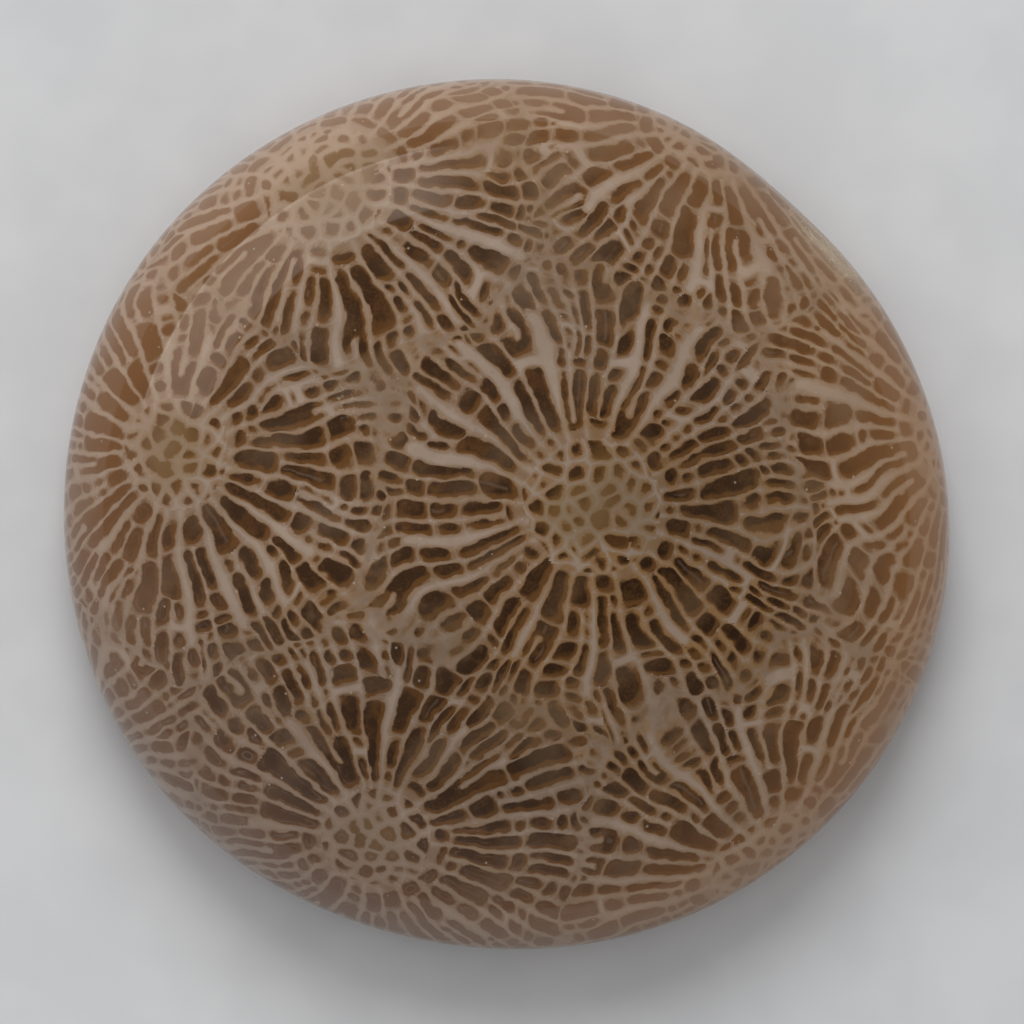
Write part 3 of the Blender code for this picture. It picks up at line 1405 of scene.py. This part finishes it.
# %% The colour inside a chamber
def streak(tree, tone, floor):
    """A thin pale seam down the middle of a few chambers, where the silica filled in last."""
    low, high, _ = read_vector(tree, "walls a")
    seam = 1.0 - ramp(calculate("ABSOLUTE", low + high), 0.02, 0.14)
    return seam * ramp(tone, 0.84, 0.90) * ramp(floor, 0.05, 0.09)


def chamber_colour(tree, floor, grain, mottle, sponge, thin):
    """Orange brown on the slopes, dark on the floor, amber in the sponge and near the rim."""
    tone, along, _ = read_vector(tree, "chamber")
    dark = mix_colour(read_number(tree, "stain"), CHAMBER_DARK, CHAMBER_STAINED)
    dark = mix_colour(thin, dark, CHAMBER_THIN)
    slope = mix_colour(thin * 0.6, CHAMBER_EDGE, CHAMBER_THIN)
    core = ramp(floor + grain * 0.04, -0.055, 0.035)
    cloudy = ramp(grain + (mottle - 0.5) * 0.25, -0.12, 0.30)
    colour = mix_colour(core * (1.0 - cloudy * 0.4), slope, dark)
    lighter_end = ramp(along + (tone - 0.5) * 0.8, 0.45, 1.1) * mottle
    colour = mix_colour(lighter_end * 0.6, colour, slope)
    colour = mix_colour(streak(tree, tone, floor) * 0.4, colour, STREAK)
    colour = mix_colour(read_number(tree, "edge") * 0.85, colour, CHAMBER_RIM)
    deep = ramp(floor, -0.04, 0.10) * ramp(tone, 0.55, 1.0)
    in_sponge = mix_colour(deep, SPONGE, SPONGE_DEEP)
    return mix_colour(sponge * 0.95, colour, in_sponge)


# %% The colour of the walls
PATCH_SIZE = 0.9


def away_from_border(tree):
    """0 where two corallites meet, and 1 a little way inside either."""
    return ramp(read_number(tree, "border"), 0.02, 0.3)


def cream_colour(tree, place, mouth, grain, sponge, thin):
    """Paler where the wall is thick, stained tan beside the chambers, with fine pores."""
    patchy = ramp(noise(place, PATCH_SIZE), 0.36, 0.64)
    thick = ramp(mouth * -1.0, 0.07, 0.17) * away_from_border(tree)
    cream = mix_colour(patchy * 0.3 + thick * 0.65, CREAM, CREAM_PALE)
    stain = read_number(tree, "stain")
    beside = ramp(mouth, -0.14, -0.04)
    cream = mix_colour(beside * (stain * 0.85 + 0.1) + stain * 0.15, cream, TAN)
    cream = mix_colour(sponge * 0.6, cream, SPONGE_WALL)
    thin_cream = mix_colour(read_number(tree, "pale") * 0.8, CREAM_THIN, CREAM_BLEACHED)
    cream = mix_colour(thin * 0.7, cream, thin_cream)
    # Painted reflection: walls are paler under the grey veil.
    cream = mix_colour(read_number(tree, "grey_reflection") * 0.3, cream, CREAM_PALE)
    return mix_colour(ramp(grain, 0.06, 0.30) * 0.35, cream, HAZE)


# %% What lies over chambers and walls alike
SPECK_SPACING = 0.7


def nearest_dot(place, spacing):
    """Distance to the nearest of many scattered dots, as a share of their spacing in mm."""
    inputs = {"Vector": place, "Scale": 1.0 / (spacing * MM)}
    return out_of(add_node(place.tree, "ShaderNodeTexVoronoi", inputs), "Distance")


def specks(place):
    """Sparse bright specks, where tiny crystals catch the light."""
    return 1.0 - ramp(nearest_dot(place, SPECK_SPACING), 0.03, 0.07)


def veiled(tree, colour, place, mouth, opened, mottle):
    """What lies over chambers and walls alike: haze, two painted reflections, amber and specks."""
    grey_reflection = read_number(tree, "grey_reflection")
    at_border = 1.0 - ramp(read_number(tree, "border"), 0.05, 0.9)
    lining = ramp(mouth, 0.045, 0.06) * (1.0 - ramp(mouth, 0.07, 0.095))
    # Painted reflection: a pale veil, mixed in less over the dark chambers so both are lifted
    # alike.
    pale_reflection = read_number(tree, "pale_reflection") * (0.5 - opened * 0.28)
    veils = (
        (read_number(tree, "hazy") * 0.3, HAZE),
        (at_border * mottle * 0.35, HAZE),
        (read_number(tree, "thin") * 0.12, CREAM_THIN),
        # Painted reflection: the grey veil, and pale linings in the chambers under it.
        (lining * grey_reflection * mottle * 0.6, LINING),
        (grey_reflection * 0.24, GREY_REFLECTION),
        (read_number(tree, "golden") * 0.42, RIM_AMBER),
        (pale_reflection, PALE_REFLECTION),
        (specks(place) * 0.6, SPECK),
    )
    for amount, veil in veils:
        colour = mix_colour(amount, colour, veil)
    return colour


# %% The colour of the stone's surface
FINE_GRAIN = 0.085
MOTTLE_SIZE = 0.5


def surface_colour(tree, place):
    """The colour of the dome and the side: chambers, walls, and what lies over both."""
    tone = read_vector(tree, "chamber")[0]
    # The rim's amber, partly painted light on the two lit sides.
    thin = read_number(tree, "thin")
    hazy = read_number(tree, "hazy")
    grain = noise(place, FINE_GRAIN) - 0.5
    mottle = ramp(noise(place, MOTTLE_SIZE), 0.35, 0.65)
    mouth, floor, by_bar = mouth_and_floor(tree)
    ragged = read_number(tree, "ragged") + grain * 0.06
    nibbled = ragged * ramp(mouth, -THINNEST, -0.02)
    sponge = 1.0 - ramp(read_number(tree, "from middle"), -1.35, 0.0)
    soft = thin * 0.03
    opened = ramp(mouth + nibbled, -0.070 - soft * 0.3, soft - 0.006)
    seen = 1.0 - hazy * 0.38 - sponge * (1.0 - tone) * 0.22
    inside = chamber_colour(tree, floor + ragged, grain, mottle, sponge, thin)
    cream = cream_colour(tree, place, mouth, grain, sponge, thin)
    thin_bar = by_bar * ramp(mouth, -0.125, -0.05) * (1.0 - sponge)
    cream = mix_colour(thin_bar * 0.6, cream, BAR_BROWN)
    colour = mix_colour(opened * seen, cream, inside)
    colour = veiled(tree, colour, place, mouth, opened, mottle)
    # Painted light and shade: the colour is scaled by the painted brightness.
    lit = add_node(tree, "ShaderNodeVectorMath", {0: colour}, operation="SCALE")
    feed(lit.inputs["Scale"], read_number(tree, "painted_brightness") + 1.0)
    return out_of(lit)


# %% [markdown]
# ## The back
#
# The back was sawn and ground flat, and nobody polished it, so it is dull and paler. The same
# colony shows there. One Voronoi texture gives the middles, each with rays round it.

# %% The colour of the back
BACK_SPACING = 10.5
BACK_SEPTA = 26.0
BACK_MIDDLE = (1.6, 1.9)
BACK_FORKS = (3.2, 4.0)
BACK_HOLE_SPACING = 0.55
BACK_CREAM = linear(168, 148, 124)
BACK_BROWN = linear(108, 76, 48)


def seen_from_middle(place):
    """How far the nearest middle on the back is, in mm, and in which direction the place lies."""
    inputs = {"Vector": place, "Scale": 1.0 / (BACK_SPACING * MM), "Randomness": 0.35}
    cells = add_node(place.tree, "ShaderNodeTexVoronoi", inputs, voronoi_dimensions="2D")
    middle = parts_of(out_of(cells, "Position"))
    x, y, _ = [here - there for here, there in zip(parts_of(place), middle)]
    return calculate("SQRT", x * x + y * y) / MM, calculate("ARCTAN2", y, x)


def between(amount, first, second):
    """The first number where the amount is 0, and the second where it is 1."""
    return first * (1.0 - amount) + second * amount


def back_colour(place):
    away, direction = seen_from_middle(place)
    wander = (noise(place, 1.6, detail=0.0) - 0.5) * 5.0
    turned = direction * BACK_SEPTA + wander
    rays, finer = calculate("COSINE", turned), calculate("COSINE", turned * 2.0)
    rays = between(ramp(away, *BACK_FORKS), rays, finer)
    bars = calculate("SINE", away * 6.5 + noise(place, 0.8, detail=0.0) * 16.0)
    open_here = (1.0 - ramp(rays, -0.1, 0.4)) * (1.0 - ramp(bars, 0.55, 0.85))
    in_hole = 1.0 - ramp(nearest_dot(place, BACK_HOLE_SPACING), 0.22, 0.42)
    open_here = between(ramp(away, *BACK_MIDDLE), in_hole, open_here)
    return mix_colour(open_here * 0.8, BACK_CREAM, BACK_BROWN)


# %% [markdown]
# ## One material for the whole stone
#
# Height tells the parts of the stone apart: the flat back is painted in its own way, the bevel is
# left as the wheel ground it, and the side is a little less bright than the dome. The polish
# itself is a low roughness, with the index of refraction of chalcedony.

# %% The material
POLISHED = 0.035
CHALCEDONY_IOR = 1.54
BROKEN_SKIN_SIZE = 0.16


def open_material(material):
    """The material's shader, and the place on the object that the patterns are made from."""
    material.use_nodes = True
    tree = material.node_tree
    place = out_of(add_node(tree, "ShaderNodeTexCoord"), "Object")
    return tree.nodes["Principled BSDF"], place


def build_stone_material(material):
    shader, place = open_material(material)
    tree = place.tree
    colour = surface_colour(tree, place)
    broken = ramp(noise(place, BROKEN_SKIN_SIZE), 0.52, 0.68)
    bare = read_number(tree, "worn") * (0.45 + broken * 0.55) + read_number(tree, "pits") * broken
    colour = mix_colour(bare * 0.75, colour, WORN_SKIN)
    height = parts_of(place)[2]
    on_back = 1.0 - ramp(height, 0.01 * MM, 0.05 * MM)
    on_bevel = 1.0 - ramp(height, BEVEL - 0.04 * MM, BEVEL + 0.04 * MM)
    on_side = 1.0 - ramp(height, SHOULDER - 0.5 * MM, SHOULDER + 0.3 * MM)
    colour = mix_colour(on_back, colour, back_colour(place))
    feed(shader.inputs["Base Color"], colour)
    roughness = POLISHED + bare * 0.5 + on_side * 0.13 + on_bevel * 0.38
    feed(shader.inputs["Roughness"], roughness)
    feed(shader.inputs["IOR"], CHALCEDONY_IOR)


build_stone_material(stone_material)
print("nodes in the stone's material:", len(stone_material.node_tree.nodes))

# %% [markdown]
# ## The floor
#
# The stone lies on a plain pale sheet. It is one large face with a cloudy, nearly white paint.

# %% Floor
FLOOR_HALF_SIZE = 0.6
FLOOR_CLOUD_SIZE = 3.5
FLOOR_ROUGHNESS = 0.9
FLOOR_DIMMER = (0.715, 0.742, 0.775, 1.0)
FLOOR_BRIGHTER = (0.755, 0.782, 0.815, 1.0)


def make_floor():
    half = FLOOR_HALF_SIZE
    corners = [(-half, -half, 0.0), (half, -half, 0.0), (half, half, 0.0), (-half, half, 0.0)]
    mesh = bpy.data.meshes.new("floor")
    mesh.from_pydata(corners, [], [(0, 1, 2, 3)])
    material = bpy.data.materials.new("pale paper")
    shader, place = open_material(material)
    cloudy = ramp(noise(place, FLOOR_CLOUD_SIZE), 0.35, 0.65)
    colour = mix_colour(cloudy, FLOOR_DIMMER, FLOOR_BRIGHTER)
    feed(shader.inputs["Base Color"], colour)
    feed(shader.inputs["Roughness"], FLOOR_ROUGHNESS)
    mesh.materials.append(material)
    return add_object("floor", mesh)


floor = make_floor()
print("floor", 2 * FLOOR_HALF_SIZE, "m wide")

# %% [markdown]
# ## The light
#
# A polished dome is a mirror, so what it reflects has to be in the world round it: a soft room,
# dim above and lighter low down, with one broad window on the upper left. The window is drawn in
# the world's shader, by height and by direction, because its edges show on the dome as two thin
# arcs. An area light from above the picture shapes the shadow. It is hidden from reflections.

# %% The room and its window
WINDOW_LOW = math.radians(16.0)
WINDOW_HIGH = math.radians(40.0)
WINDOW_START = math.radians(100.0)
WINDOW_END = math.radians(163.0)
WINDOW_EDGE = math.radians(0.4)
WINDOW_STRENGTH = 1.25
SILL_STRENGTH = 0.7
ROOM_STRENGTH = 0.43
ROOM_IN_GLOSS = 0.10
LOW_ROOM_IN_GLOSS = 0.12
ROOM_BEHIND_ALL = 0.62
ROOM_COLOUR = (1.0, 0.975, 0.955, 1.0)
WINDOW_COLOUR = (1.0, 0.93, 0.87, 1.0)


def past(angle, limit, softness):
    """0 before this angle and 1 past it, with an edge as soft as that many WINDOW_EDGEs."""
    half = softness * WINDOW_EDGE
    return ramp(angle, limit - half, limit + half)


def window_shape(azimuth, elevation):
    """Where the window is, from 0 to 1, and how it glows, with a brighter sill at its foot."""
    in_height = past(elevation, WINDOW_LOW, 1)
    sill = in_height * (1.0 - past(elevation, WINDOW_LOW + 3.5 * WINDOW_EDGE, 1.5))
    in_height = in_height * (1.0 - past(elevation, WINDOW_HIGH, 1))
    in_width = past(azimuth, WINDOW_START, 14)
    in_width = in_width * (1.0 - past(azimuth, WINDOW_END, 6))
    return in_height * in_width, (in_height + sill * SILL_STRENGTH) * in_width


def build_world():
    """A soft pale room with one broad window, low on the upper left."""
    world = bpy.data.worlds.new("soft room")
    bpy.context.scene.world = world
    world.use_nodes = True
    tree = world.node_tree
    background = tree.nodes["Background"]
    direction = out_of(add_node(tree, "ShaderNodeTexCoord"), "Generated")
    x, y, z = parts_of(direction)
    elevation = calculate("ARCSINE", z)
    azimuth = calculate("ARCTAN2", y, x)
    in_window, glow = window_shape(azimuth, elevation)
    rays = add_node(tree, "ShaderNodeLightPath")
    glossy = out_of(rays, "Is Glossy Ray")
    camera_ray = out_of(rays, "Is Camera Ray")
    low_room = 1.0 - ramp(elevation, 0.1, 0.75)
    in_gloss = ROOM_IN_GLOSS + low_room * LOW_ROOM_IN_GLOSS
    room = glossy * in_gloss + (1.0 - glossy) * ROOM_STRENGTH
    strength = (room + glow * WINDOW_STRENGTH) * (1.0 - camera_ray) + camera_ray * ROOM_BEHIND_ALL
    colour = mix_colour(in_window, ROOM_COLOUR, WINDOW_COLOUR)
    feed(background.inputs["Color"], colour)
    feed(background.inputs["Strength"], strength)


build_world()
window_heights = [round(math.degrees(angle)) for angle in (WINDOW_LOW, WINDOW_HIGH)]
print("window from {} to {} degrees up".format(*window_heights))

# %% The key light
KEY_COLOUR = (1.0, 0.985, 0.965)
KEY_STRENGTH = 1.15
KEY_DIRECTION = (math.radians(93.0), math.radians(42.0))
KEY_DISTANCE = 0.5
KEY_SIZE = 0.30


def make_key_light():
    """A large soft light from above the picture. It shapes the shadow and leaves no glint."""
    azimuth, elevation = KEY_DIRECTION
    data = bpy.data.lights.new("key light", "AREA")
    data.shape = "DISK"
    data.size = KEY_SIZE
    data.energy = KEY_STRENGTH
    data.color = KEY_COLOUR
    light = add_object("key light", data)
    flat = KEY_DISTANCE * math.cos(elevation)
    light.location = (
        flat * math.cos(azimuth),
        flat * math.sin(azimuth),
        KEY_DISTANCE * math.sin(elevation),
    )
    light.rotation_euler = (math.pi / 2 - elevation, 0.0, azimuth + math.pi / 2)
    light.visible_glossy = False
    light.visible_camera = False


make_key_light()
print("key light", KEY_DISTANCE, "m away and", KEY_SIZE, "m across")

# %% [markdown]
# ## The camera
#
# The photograph looks straight down. A long lens far away keeps the stone's side out of sight,
# as it is there, and the camera is moved aside so that the stone lies as it does in the frame.

# %% Camera
IMAGE_SIZE = 1024
STONE_RADIUS_IN_FRAME = 438.84
STONE_IN_FRAME = (504.45, 516.82)
PIXEL = MEAN_RADIUS / STONE_RADIUS_IN_FRAME
LENS = 300.0
SENSOR = 36.0


def make_camera():
    """Looks straight down, with the stone as large and as placed as in the photograph."""
    frame_width = IMAGE_SIZE * PIXEL
    distance = frame_width * LENS / SENSOR
    data = bpy.data.cameras.new("camera")
    data.lens = LENS
    data.sensor_width = SENSOR
    data.clip_start = 0.01
    camera = add_object("camera", data)
    x = (IMAGE_SIZE / 2 - STONE_IN_FRAME[0]) * PIXEL
    y = (STONE_IN_FRAME[1] - IMAGE_SIZE / 2) * PIXEL
    camera.location = (x, y, SHOULDER + distance)
    bpy.context.scene.camera = camera
    return camera


camera = make_camera()
bpy.context.scene.view_settings.view_transform = "Standard"
print("camera", round(camera.location.z, 3), "m up, a pixel is", round(PIXEL / MM, 4), "mm wide")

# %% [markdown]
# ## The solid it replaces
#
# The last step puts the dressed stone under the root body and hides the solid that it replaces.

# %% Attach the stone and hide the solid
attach(stone, "root")
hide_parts("coral_cabochon")
